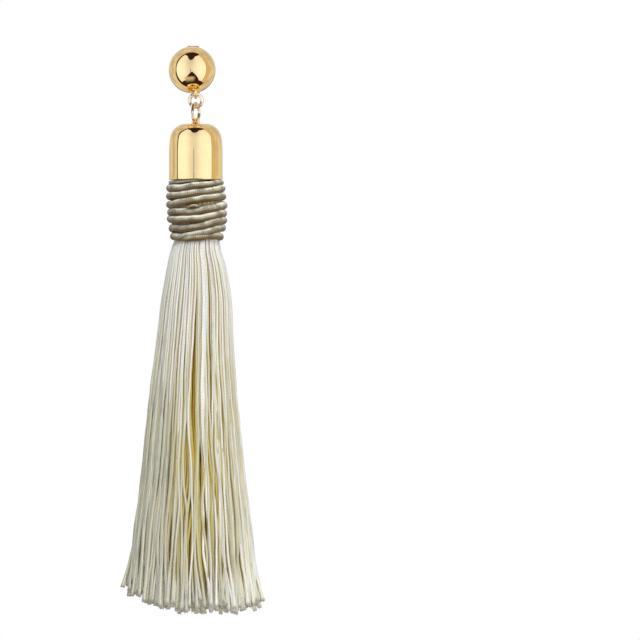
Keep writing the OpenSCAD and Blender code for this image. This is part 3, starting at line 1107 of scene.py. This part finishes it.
# Rings of threads, from the outside in: the piece and the number of its threads, radius share
# at the neck, radius share at the ends and its spread, sides and rings of each thread, and
# how deep it lies, which sets how much painted shade it gets.
THREAD_RINGS = (
    ("outer", 68, 1.00, 0.985, 0.020, 7, 60, 0.00),
    ("middle", 72, 0.93, 0.970, 0.025, 7, 50, 0.18),
    ("middle", 68, 0.86, 0.950, 0.030, 6, 44, 0.32),
    ("inner", 62, 0.78, 0.920, 0.045, 6, 36, 0.50),
    ("inner", 50, 0.69, 0.860, 0.070, 6, 30, 0.70),
    ("inner", 40, 0.58, 0.760, 0.100, 5, 28, 0.85),
    ("inner", 28, 0.46, 0.600, 0.120, 5, 26, 1.00),
    ("inner", 18, 0.32, 0.420, 0.120, 5, 24, 1.00),
    ("inner", 8, 0.14, 0.180, 0.100, 5, 24, 1.00),
)
# Threads that leave their neighbours, and how much further than others they drift.
STRAYS = 18
STRAY = 3.5
# Where the threads start, inside the binding, as a share of the fringe's length.
THREAD_START = -0.035
# Length of the cut end that widens, and how far the longest threads pass the fringe's length,
# in millimetres.
CUT_END = 0.9
# Share of a thread from which its end curls and its painted shade fades.
CURL_FROM = 0.86
# Where the painted amber shade is strongest, right of the middle, as a share of half the width.
AMBER_AT = 0.1
# Loose filaments at each cut end.
FILAMENTS = 3
# Slits where the outer threads part: the turn right of the front, where each starts and ends
# as a share of the fringe's length, half its width as a turn, and how deep the threads part.
SLITS = (
    (0.02, 0.12, 0.64, 0.060, 0.6),
    (0.02, 0.05, 0.34, 0.032, 0.6),
    (0.26, 0.30, 0.54, 0.045, 0.3),
    (0.46, 0.32, 0.56, 0.045, 0.3),
    (0.58, 0.30, 0.48, 0.040, 0.3),
    (-0.15, 0.46, 0.76, 0.062, 0.6),
    (-0.27, 0.50, 0.70, 0.030, 0.3),
    (0.30, 0.58, 0.78, 0.060, 0.3),
    (0.17, 0.52, 0.70, 0.045, 0.3),
    (-0.20, 0.68, 0.92, 0.045, 0.3),
    (-0.05, 0.68, 0.92, 0.045, 0.3),
    (0.44, 0.58, 0.80, 0.055, 0.3),
    (0.22, 0.72, 0.92, 0.045, 0.3),
)


class EARRING_OT_threads(bpy.types.Operator):
    """Hang the silk threads of the fringe, with their cut ends"""

    bl_idname = "earring.threads"
    bl_label = "Silk Threads"

    def execute(self, context):
        self.silk = context.scene.earring_tassel
        cord = context.scene.earring_cord
        self.neck_z = binding_top(cord) - NECK_SHARE * pitch(cord)
        self.dice = random.Random(self.silk.seed)
        pieces = {name: Strands() for name in ("outer", "middle", "inner")}
        for name, count, *row in THREAD_RINGS:
            turn = self.dice.uniform(0, TAU)
            for i in range(count):
                angle = turn + TAU * (i + self.dice.uniform(-0.3, 0.3)) / count
                self.thread(pieces[name], row, angle, 1.0)
        for _ in range(STRAYS):
            self.thread(pieces["outer"], THREAD_RINGS[0][2:], self.dice.uniform(0, TAU), STRAY)
        made = thread_silk(self.silk)
        for name, strands in pieces.items():
            nodes = ("tassel",) if name == "outer" else ()
            strands.piece(name + "_threads", made, nodes, "tassel_silk")
        return {"FINISHED"}

    def thread(self, strands, row, angle, stray):
        """One thread from inside the binding down to its cut end."""
        dice = self.dice
        at_neck, at_end, spread, sides, rings, depth = row
        at_end += dice.uniform(-spread, spread)
        key = Vector((dice.uniform(0, 90), dice.uniform(0, 90), 0))
        drift = dice.gauss(0, 0.04) * stray
        pull = dice.uniform(0.2, 1.0)
        end = 1 - self.cut(angle) - self.shortfall(angle) / self.silk.fringe_len
        curl = Vector((dice.gauss(0, 1), dice.gauss(0, 1), 0)) * 0.38 * MM
        radius = self.silk.thread_d / 2 * dice.uniform(0.85, 1.1)
        tone = self.own_tone(depth) * (stray == 1)
        path, radii, faces, tints = [], [], [], []
        for ring in range(rings + 1):
            t = ring / rings
            if ring == rings - 1:
                t = 1 - CUT_END * MM / self.silk.fringe_len
            fall = mixed(THREAD_START, end, t)
            down = max(0.0, fall)
            part = mixed(at_neck, at_end, eased(down / 0.55))
            part += 0.05 * down * noise.noise(key + Vector((0, 0, down * 5)))
            part = min(part, 1.02 if stray > 1 else 1.0)
            lock = 0.03 * math.sin(19 * angle + 2.0 * math.sin(3 * angle)) * min(1.0, down / 0.3)
            sway = 0.14 * noise.noise(key + Vector((3.1, 0, down * 3.2))) * down**0.7
            turn = angle + drift * eased(down) + sway - pull * lock
            if stray == 1:
                turn = self.parted(turn, angle, down, depth)
            place = self.in_outline(part, turn, fall, radius)
            place += curl * max(0.0, (t - CURL_FROM) / (1 - CURL_FROM)) ** 1.6
            waver = noise.noise_vector(key + Vector((9.0, 2.0, down * 22)))
            place += Vector((waver.x, waver.y, 0)) * 0.12 * MM * min(1.0, down * 3)
            tight = mixed(0.74, 1.0, bounded((fall + 0.02) / 0.22)) * (1 + 0.12 * down)
            flare = {rings: 1.5, rings - 1: 1.3}.get(ring, 1.0)
            path.append(place)
            radii.append(radius * tight * flare)
            # Painted shade on the flanks: the side turned away from the outside gets more.
            faces.append(Vector((math.cos(turn), math.sin(turn), 0)))
            tints.append(self.tint(t, down, part * math.cos(turn), depth, tone))
        values = {name: [tint[name] for tint in tints] for name in tints[0]}
        strands.add(path, radii, sides, values, faces=faces)
        self.frayed(strands, path, radius, values)

    def cut(self, angle):
        """Where the cut ends lie above the lowest one, as a share of the fringe's length."""
        count = len(CUT_RISE)
        at = (angle / TAU * count) % count
        i = int(at)
        return mixed(CUT_RISE[i % count], CUT_RISE[(i + 1) % count], at - i)

    def shortfall(self, angle):
        """How much shorter a thread is than its lock could be: neighbours end in clumps."""
        clump = bounded(0.5 + 1.1 * wave(9 * math.cos(angle), 9 * math.sin(angle), 0.4))
        short = (0.5 * clump + 0.5 * self.dice.random()) * self.silk.uneven - CUT_END * MM
        return short + (self.dice.random() < 0.07) * self.dice.uniform(1, 3) * MM

    def own_tone(self, depth):
        """How dark a thread is: most of the outer ones are pale."""
        if depth == 0 and self.dice.random() < 0.6:
            return self.dice.random() ** 2 * 0.9
        return self.dice.uniform(0.4, 1.0)

    def parted(self, turn, angle, fall, depth):
        """Move a thread aside from the slits, to the side on which it starts."""
        for right, start, end, half, deepest in SLITS:
            part = (fall - start) / (end - start)
            if 0 < part < 1 and depth < deepest:
                side = math.copysign(1, math.sin(angle + math.pi / 2 - right))
                off = side * math.remainder(turn + math.pi / 2 - right, TAU)
                wide = half * math.sin(math.pi * part) ** 1.5
                if abs(off) < 1:
                    turn += side * wide * math.exp(-max(0.0, off) / (1.5 * half))
        return turn

    def in_outline(self, part, turn, fall, radius):
        """A point at a share of the outline's radius, a turn and a fall."""
        silk = self.silk
        wide = smooth_rows(OUTLINE, fall, WIDTH)
        half_w = mixed(silk.neck_r, silk.fringe_w / 2, wide) - radius
        half_d = mixed(silk.neck_r, silk.fringe_depth / 2, wide) - radius
        lean = smooth_rows(OUTLINE, fall, LEAN) * silk.fringe_w
        x = DROP.x + lean + half_w * part * math.cos(turn)
        y = DROP.y + half_d * part * math.sin(turn)
        return Vector((x, y, self.neck_z - fall * silk.fringe_len))

    def tint(self, t, down, right, depth, tone):
        """What a ring of a thread tells its material: its painted shade and its warmth, tone and cut
        end.
        """
        off = (1.35 if right < AMBER_AT else 1.0) * abs(right - AMBER_AT)
        fade = (1 - 0.8 * eased((t - CURL_FROM) * 9)) * (1 - 0.4 * eased((down - 0.55) * 4))
        # Painted shade: threads darker on the left lower side, away from the light, and the tone darker
        # towards the bottom.
        dull_and_left_shade = 2.3 * max(0.0, -right) * bounded(2.2 * down - 0.65)
        return {
            "painted_shade": depth * min(1.0, 0.5 + down * 2) * (1 - 0.6 * eased((t - 0.9) * 12)),
            "tone": tone * (0.35 + 0.65 * eased(2.5 * down)) + 0.06 * down + dull_and_left_shade,
            "rib": float(t == 1),
            "shade_warmth": (1 - 0.85 * eased(off)) * fade * eased(0.42 + down / 0.30),
        }

    def frayed(self, strands, path, radius, values):
        """A few loose filaments at a thread's cut end."""
        end, before = path[-1], path[-2]
        ahead = (end - before).normalized()
        held = {name: [column[-2]] * 3 for name, column in values.items()}
        for _ in range(FILAMENTS):
            aside = Vector((self.dice.gauss(0, 1), self.dice.gauss(0, 1), 0)).normalized()
            size = self.dice.uniform(0.25, 0.6) * MM
            start = end + aside * radius * 0.7 - ahead * 0.25 * MM
            middle = start + (ahead + aside * 0.2) * size * 0.6
            tip = start + (ahead + aside * 0.4) * size
            strands.add([start, middle, tip], [0.06 * MM, 0.05 * MM, 0.02 * MM], 4, held)


# The studio

# Width of the camera's sensor in millimetres.
SENSOR_W = 36
# The floor is a round slab: its radius and its thickness in metres.
FLOOR_R = 0.55
FLOOR_THICK = 0.02
# Soft lights for the silk: place and size in metres, and power as a share of the key light's.
SOFT_LIGHTS = (
    ("key_right", (0.34, -0.58, 0.22), 0.30, 0.6),
    ("key_top", (0.06, -0.27, 0.30), 0.20, 0.78),
    ("fill_back", (0.0, 0.6, 0.35), 0.6, 1.8),
)
LIGHT_COLOUR = (1.0, 0.985, 0.965)
# Height in metres that the soft lights aim at.
AIM_Z = -0.06
# Colours that the metal mirrors.
BOX_TINT = (0.96, 1.07, 1.41)
DARK_TINT = (0.040, 0.018, 0.020)
TABLE_TINT = (0.66, 0.62, 0.55)
WOOD_TINT = (0.72, 0.60, 0.44)


class EARRING_OT_studio(bpy.types.Operator):
    """Set the camera, the pale floor, the white tent and the soft lights"""

    bl_idname = "earring.studio"
    bl_label = "Studio"

    def execute(self, context):
        studio = context.scene.earring_studio
        self.camera(context, studio)
        self.floor(studio)
        self.tent(context, studio)
        self.lights(studio)
        context.scene.view_settings.view_transform = "Standard"
        return {"FINISHED"}

    def camera(self, context, studio):
        """A long lens, level and straight from the front."""
        data = bpy.data.cameras.new("camera")
        data.lens = studio.lens
        data.sensor_width = SENSOR_W
        data.clip_start = 0.01
        data.clip_end = 50
        away = studio.view_w * studio.lens / SENSOR_W
        camera = in_scene("camera", data)
        camera.location = (studio.view_x, DROP.y - away, -studio.view_drop)
        camera.rotation_euler = (math.pi / 2, 0, 0)
        context.scene.camera = camera

    def floor(self, studio):
        """A round pale slab under the earring, left out of the metal's reflections."""
        made, tree, shader = material("pale_floor", Roughness=0.9)
        grain = noise_value(tree, on_piece(tree), 60.0, 4.0)
        base = mix_colour(tree, grain, (0.90, 0.90, 0.89), (0.94, 0.94, 0.93))
        socket_set(shader, "Base Color", base)
        top = CAD_BOX[0][2] - studio.floor_drop
        bm = bmesh.new()
        bmesh.ops.create_cone(
            bm,
            cap_ends=True,
            segments=96,
            radius1=FLOOR_R,
            radius2=FLOOR_R,
            depth=FLOOR_THICK,
            matrix=Matrix.Translation((DROP.x, DROP.y, top - FLOOR_THICK / 2)),
        )
        mesh = baked("floor", bm)
        mesh.materials.append(made)
        floor = in_scene("floor", mesh)
        floor.visible_glossy = False

    def tent(self, context, studio):
        """World light: one for what the metal mirrors, one for the silk, and white to the camera."""
        world = bpy.data.worlds.new("studio_tent")
        world.use_nodes = True
        tree = world.node_tree
        tree.nodes.clear()
        way = tree.nodes.new("ShaderNodeTexCoord").outputs["Generated"]
        x, y, z = add(tree, "ShaderNodeSeparateXYZ", Vector=way).outputs
        path = tree.nodes.new("ShaderNodeLightPath").outputs
        mirrored = self.mirrored(tree, studio, way, x, y, z)
        soft = self.soft_light(tree, studio, x, y, z)
        shown = mix_colour(tree, path["Is Diffuse Ray"], mirrored, soft)
        shown = mix_colour(tree, path["Is Camera Ray"], shown, (1.0, 1.0, 1.0))
        ground = add(tree, "ShaderNodeBackground", Color=shown, Strength=1.0)
        out = tree.nodes.new("ShaderNodeOutputWorld")
        socket_set(out, "Surface", ground.outputs[0])
        context.scene.world = world

    def soft_light(self, tree, studio, x, y, z):
        """Even light for the silk, brightest from above, the right and the front."""
        slope = calc(tree, "ADD", times(tree, x, 0.35), times(tree, y, -0.40))
        slope = times(tree, z, 0.70, slope)
        grey = times(tree, ramp(tree, slope, -0.85, 0.85, 0.10, 1.0), studio.soft)
        even = add(tree, "ShaderNodeCombineColor", Red=grey, Green=grey, Blue=grey).outputs[0]
        tint = mix_colour(tree, ramp(tree, x, -0.9, 0.5), (0.93, 0.99, 0.98), (0.98, 0.985, 0.98))
        return mix_colour(tree, 1.0, even, tint, "MULTIPLY")

    def mirrored(self, tree, studio, way, x, y, z):
        """Two light boxes in front, a white tent behind, a table below and dark elsewhere."""
        turn = calc(tree, "ARCTAN2", x, times(tree, y, -1.0))
        rise = calc(tree, "ARCSINE", z)
        off = calc(tree, "ABSOLUTE", calc(tree, "ADD", turn, math.radians(7.5)))
        tall = self.box_height(tree, turn, rise, off)
        boxes = times(tree, self.boxes(tree, turn, rise, off, tall), studio.boxes)
        rear = self.rear(tree, studio, way, y, z)
        lit = [
            times(tree, boxes, tint, calc(tree, "ADD", rear, dark))
            for tint, dark in zip(BOX_TINT, DARK_TINT)
        ]
        base = add(tree, "ShaderNodeCombineColor", Red=lit[0], Green=lit[1], Blue=lit[2])
        base = mix_colour(tree, self.table(tree, turn, rise), base.outputs[0], TABLE_TINT)
        wood = times(tree, self.between(tree, turn, 75, 98), tall)
        return mix_colour(tree, wood, base, WOOD_TINT)

    def between(self, tree, value, start, end, soft=2.0):
        """A mask between two angles in degrees."""
        first = ramp(tree, value, math.radians(start - soft / 2), math.radians(start + soft / 2))
        last = ramp(tree, value, math.radians(end + soft / 2), math.radians(end - soft / 2))
        return times(tree, first, last)

    def box_height(self, tree, turn, rise, off):
        """A mask between the lower and the upper edge of the light boxes."""
        top = ramp(tree, off, 0.0, 0.75, math.radians(47), math.radians(66))
        low = times(tree, calc(tree, "ABSOLUTE", turn), -0.85, math.radians(-9))
        low = calc(tree, "MAXIMUM", low, math.radians(-50))
        over = ramp(tree, calc(tree, "SUBTRACT", top, rise), -0.015, 0.015)
        under = ramp(tree, calc(tree, "SUBTRACT", rise, low), -0.015, 0.015)
        return times(tree, over, under)

    def boxes(self, tree, turn, rise, off, tall):
        """The two light boxes, with a seam between them, fading to the middle and to the edges."""
        left, right = self.between(tree, turn, -83, -9), self.between(tree, turn, -6, 74)
        seam = ramp(tree, rise, math.radians(-2), math.radians(10), 0.30, 1.0)
        panels = times(tree, calc(tree, "MAXIMUM", calc(tree, "ADD", left, right), seam), tall)
        panels = times(tree, panels, self.between(tree, turn, -83, 74))
        high = ramp(tree, calc(tree, "ABSOLUTE", rise), 0.1, 0.9, 1.0, 0.82)
        return times(tree, panels, times(tree, ramp(tree, off, 0.0, 0.80, 0.70, 1.0), high))

    def rear(self, tree, studio, way, y, z):
        """The white tent behind, with soft folds, darker at the back towards the floor."""
        steep = calc(tree, "MAXIMUM", times(tree, z, 0.13), times(tree, z, -0.25))
        behind = ramp(tree, calc(tree, "SUBTRACT", y, steep), -0.06, -0.03)
        folds = ramp(tree, noise_value(tree, way, 2.6, 2.0), 0.36, 0.64, 0.78, 1.10)
        edge = times(tree, ramp(tree, y, 0.82, 0.95), ramp(tree, z, 0.12, -0.20))
        behind = times(tree, behind, times(tree, folds, studio.tent))
        return times(tree, behind, times(tree, edge, -0.70, 1.0))

    def table(self, tree, turn, rise):
        """The table below the light boxes."""
        near = ramp(tree, rise, math.radians(-68), math.radians(-40))
        far = ramp(tree, rise, math.radians(-30), math.radians(-42))
        return times(tree, times(tree, self.between(tree, turn, -48, 14, 24), near), far)

    def lights(self, studio):
        """Soft lights for the silk, left out of the metal's reflections."""
        for name, place, size, power in SOFT_LIGHTS:
            data = bpy.data.lights.new(name, "AREA")
            data.shape = "SQUARE"
            data.size = size
            data.energy = studio.key * power
            data.color = LIGHT_COLOUR
            light = in_scene(name, data)
            light.location = place
            aim = Vector((DROP.x, DROP.y, AIM_Z)) - Vector(place)
            light.rotation_euler = aim.to_track_quat("-Z", "Y").to_euler()
            light.visible_camera = False
            light.visible_glossy = False


class EARRING_PT_sidebar(bpy.types.Panel):
    """Lists the pieces, each with its button and sizes"""

    bl_idname = "EARRING_PT_sidebar"
    bl_label = "Tassel Earring"
    bl_space_type = "VIEW_3D"
    bl_region_type = "UI"
    bl_category = "Tassel Earring"

    def draw(self, context):
        for operators, group in PARTS:
            box = self.layout.box()
            for operator in operators:
                box.operator(operator.bl_idname)
            settings = getattr(context.scene, group)
            for name in settings.bl_rna.properties.keys():
                if name not in ("rna_type", "name"):
                    box.prop(settings, name)


SETTINGS = {
    "earring_metal": MetalSettings,
    "earring_cord": CordSettings,
    "earring_tassel": TasselSettings,
    "earring_studio": StudioSettings,
}
PARTS = (
    ((EARRING_OT_ball_stud, EARRING_OT_ear_nut, EARRING_OT_rings, EARRING_OT_cap), "earring_metal"),
    ((EARRING_OT_binding,), "earring_cord"),
    ((EARRING_OT_bundle, EARRING_OT_threads), "earring_tassel"),
    ((EARRING_OT_studio,), "earring_studio"),
)
CLASSES = (
    *SETTINGS.values(),
    *(operator for operators, _ in PARTS for operator in operators),
    EARRING_PT_sidebar,
)


def register():
    for item in CLASSES:
        bpy.utils.register_class(item)
    for name, group in SETTINGS.items():
        setattr(bpy.types.Scene, name, PointerProperty(type=group))


def unregister():
    for name in SETTINGS:
        delattr(bpy.types.Scene, name)
    for item in reversed(CLASSES):
        bpy.utils.unregister_class(item)


def main():
    register()
    bpy.ops.earring.ball_stud()
    bpy.ops.earring.ear_nut()
    bpy.ops.earring.rings()
    bpy.ops.earring.cap()
    bpy.ops.earring.binding()
    bpy.ops.earring.bundle()
    bpy.ops.earring.threads()
    bpy.ops.earring.studio()


if __name__ == "__main__":
    main()
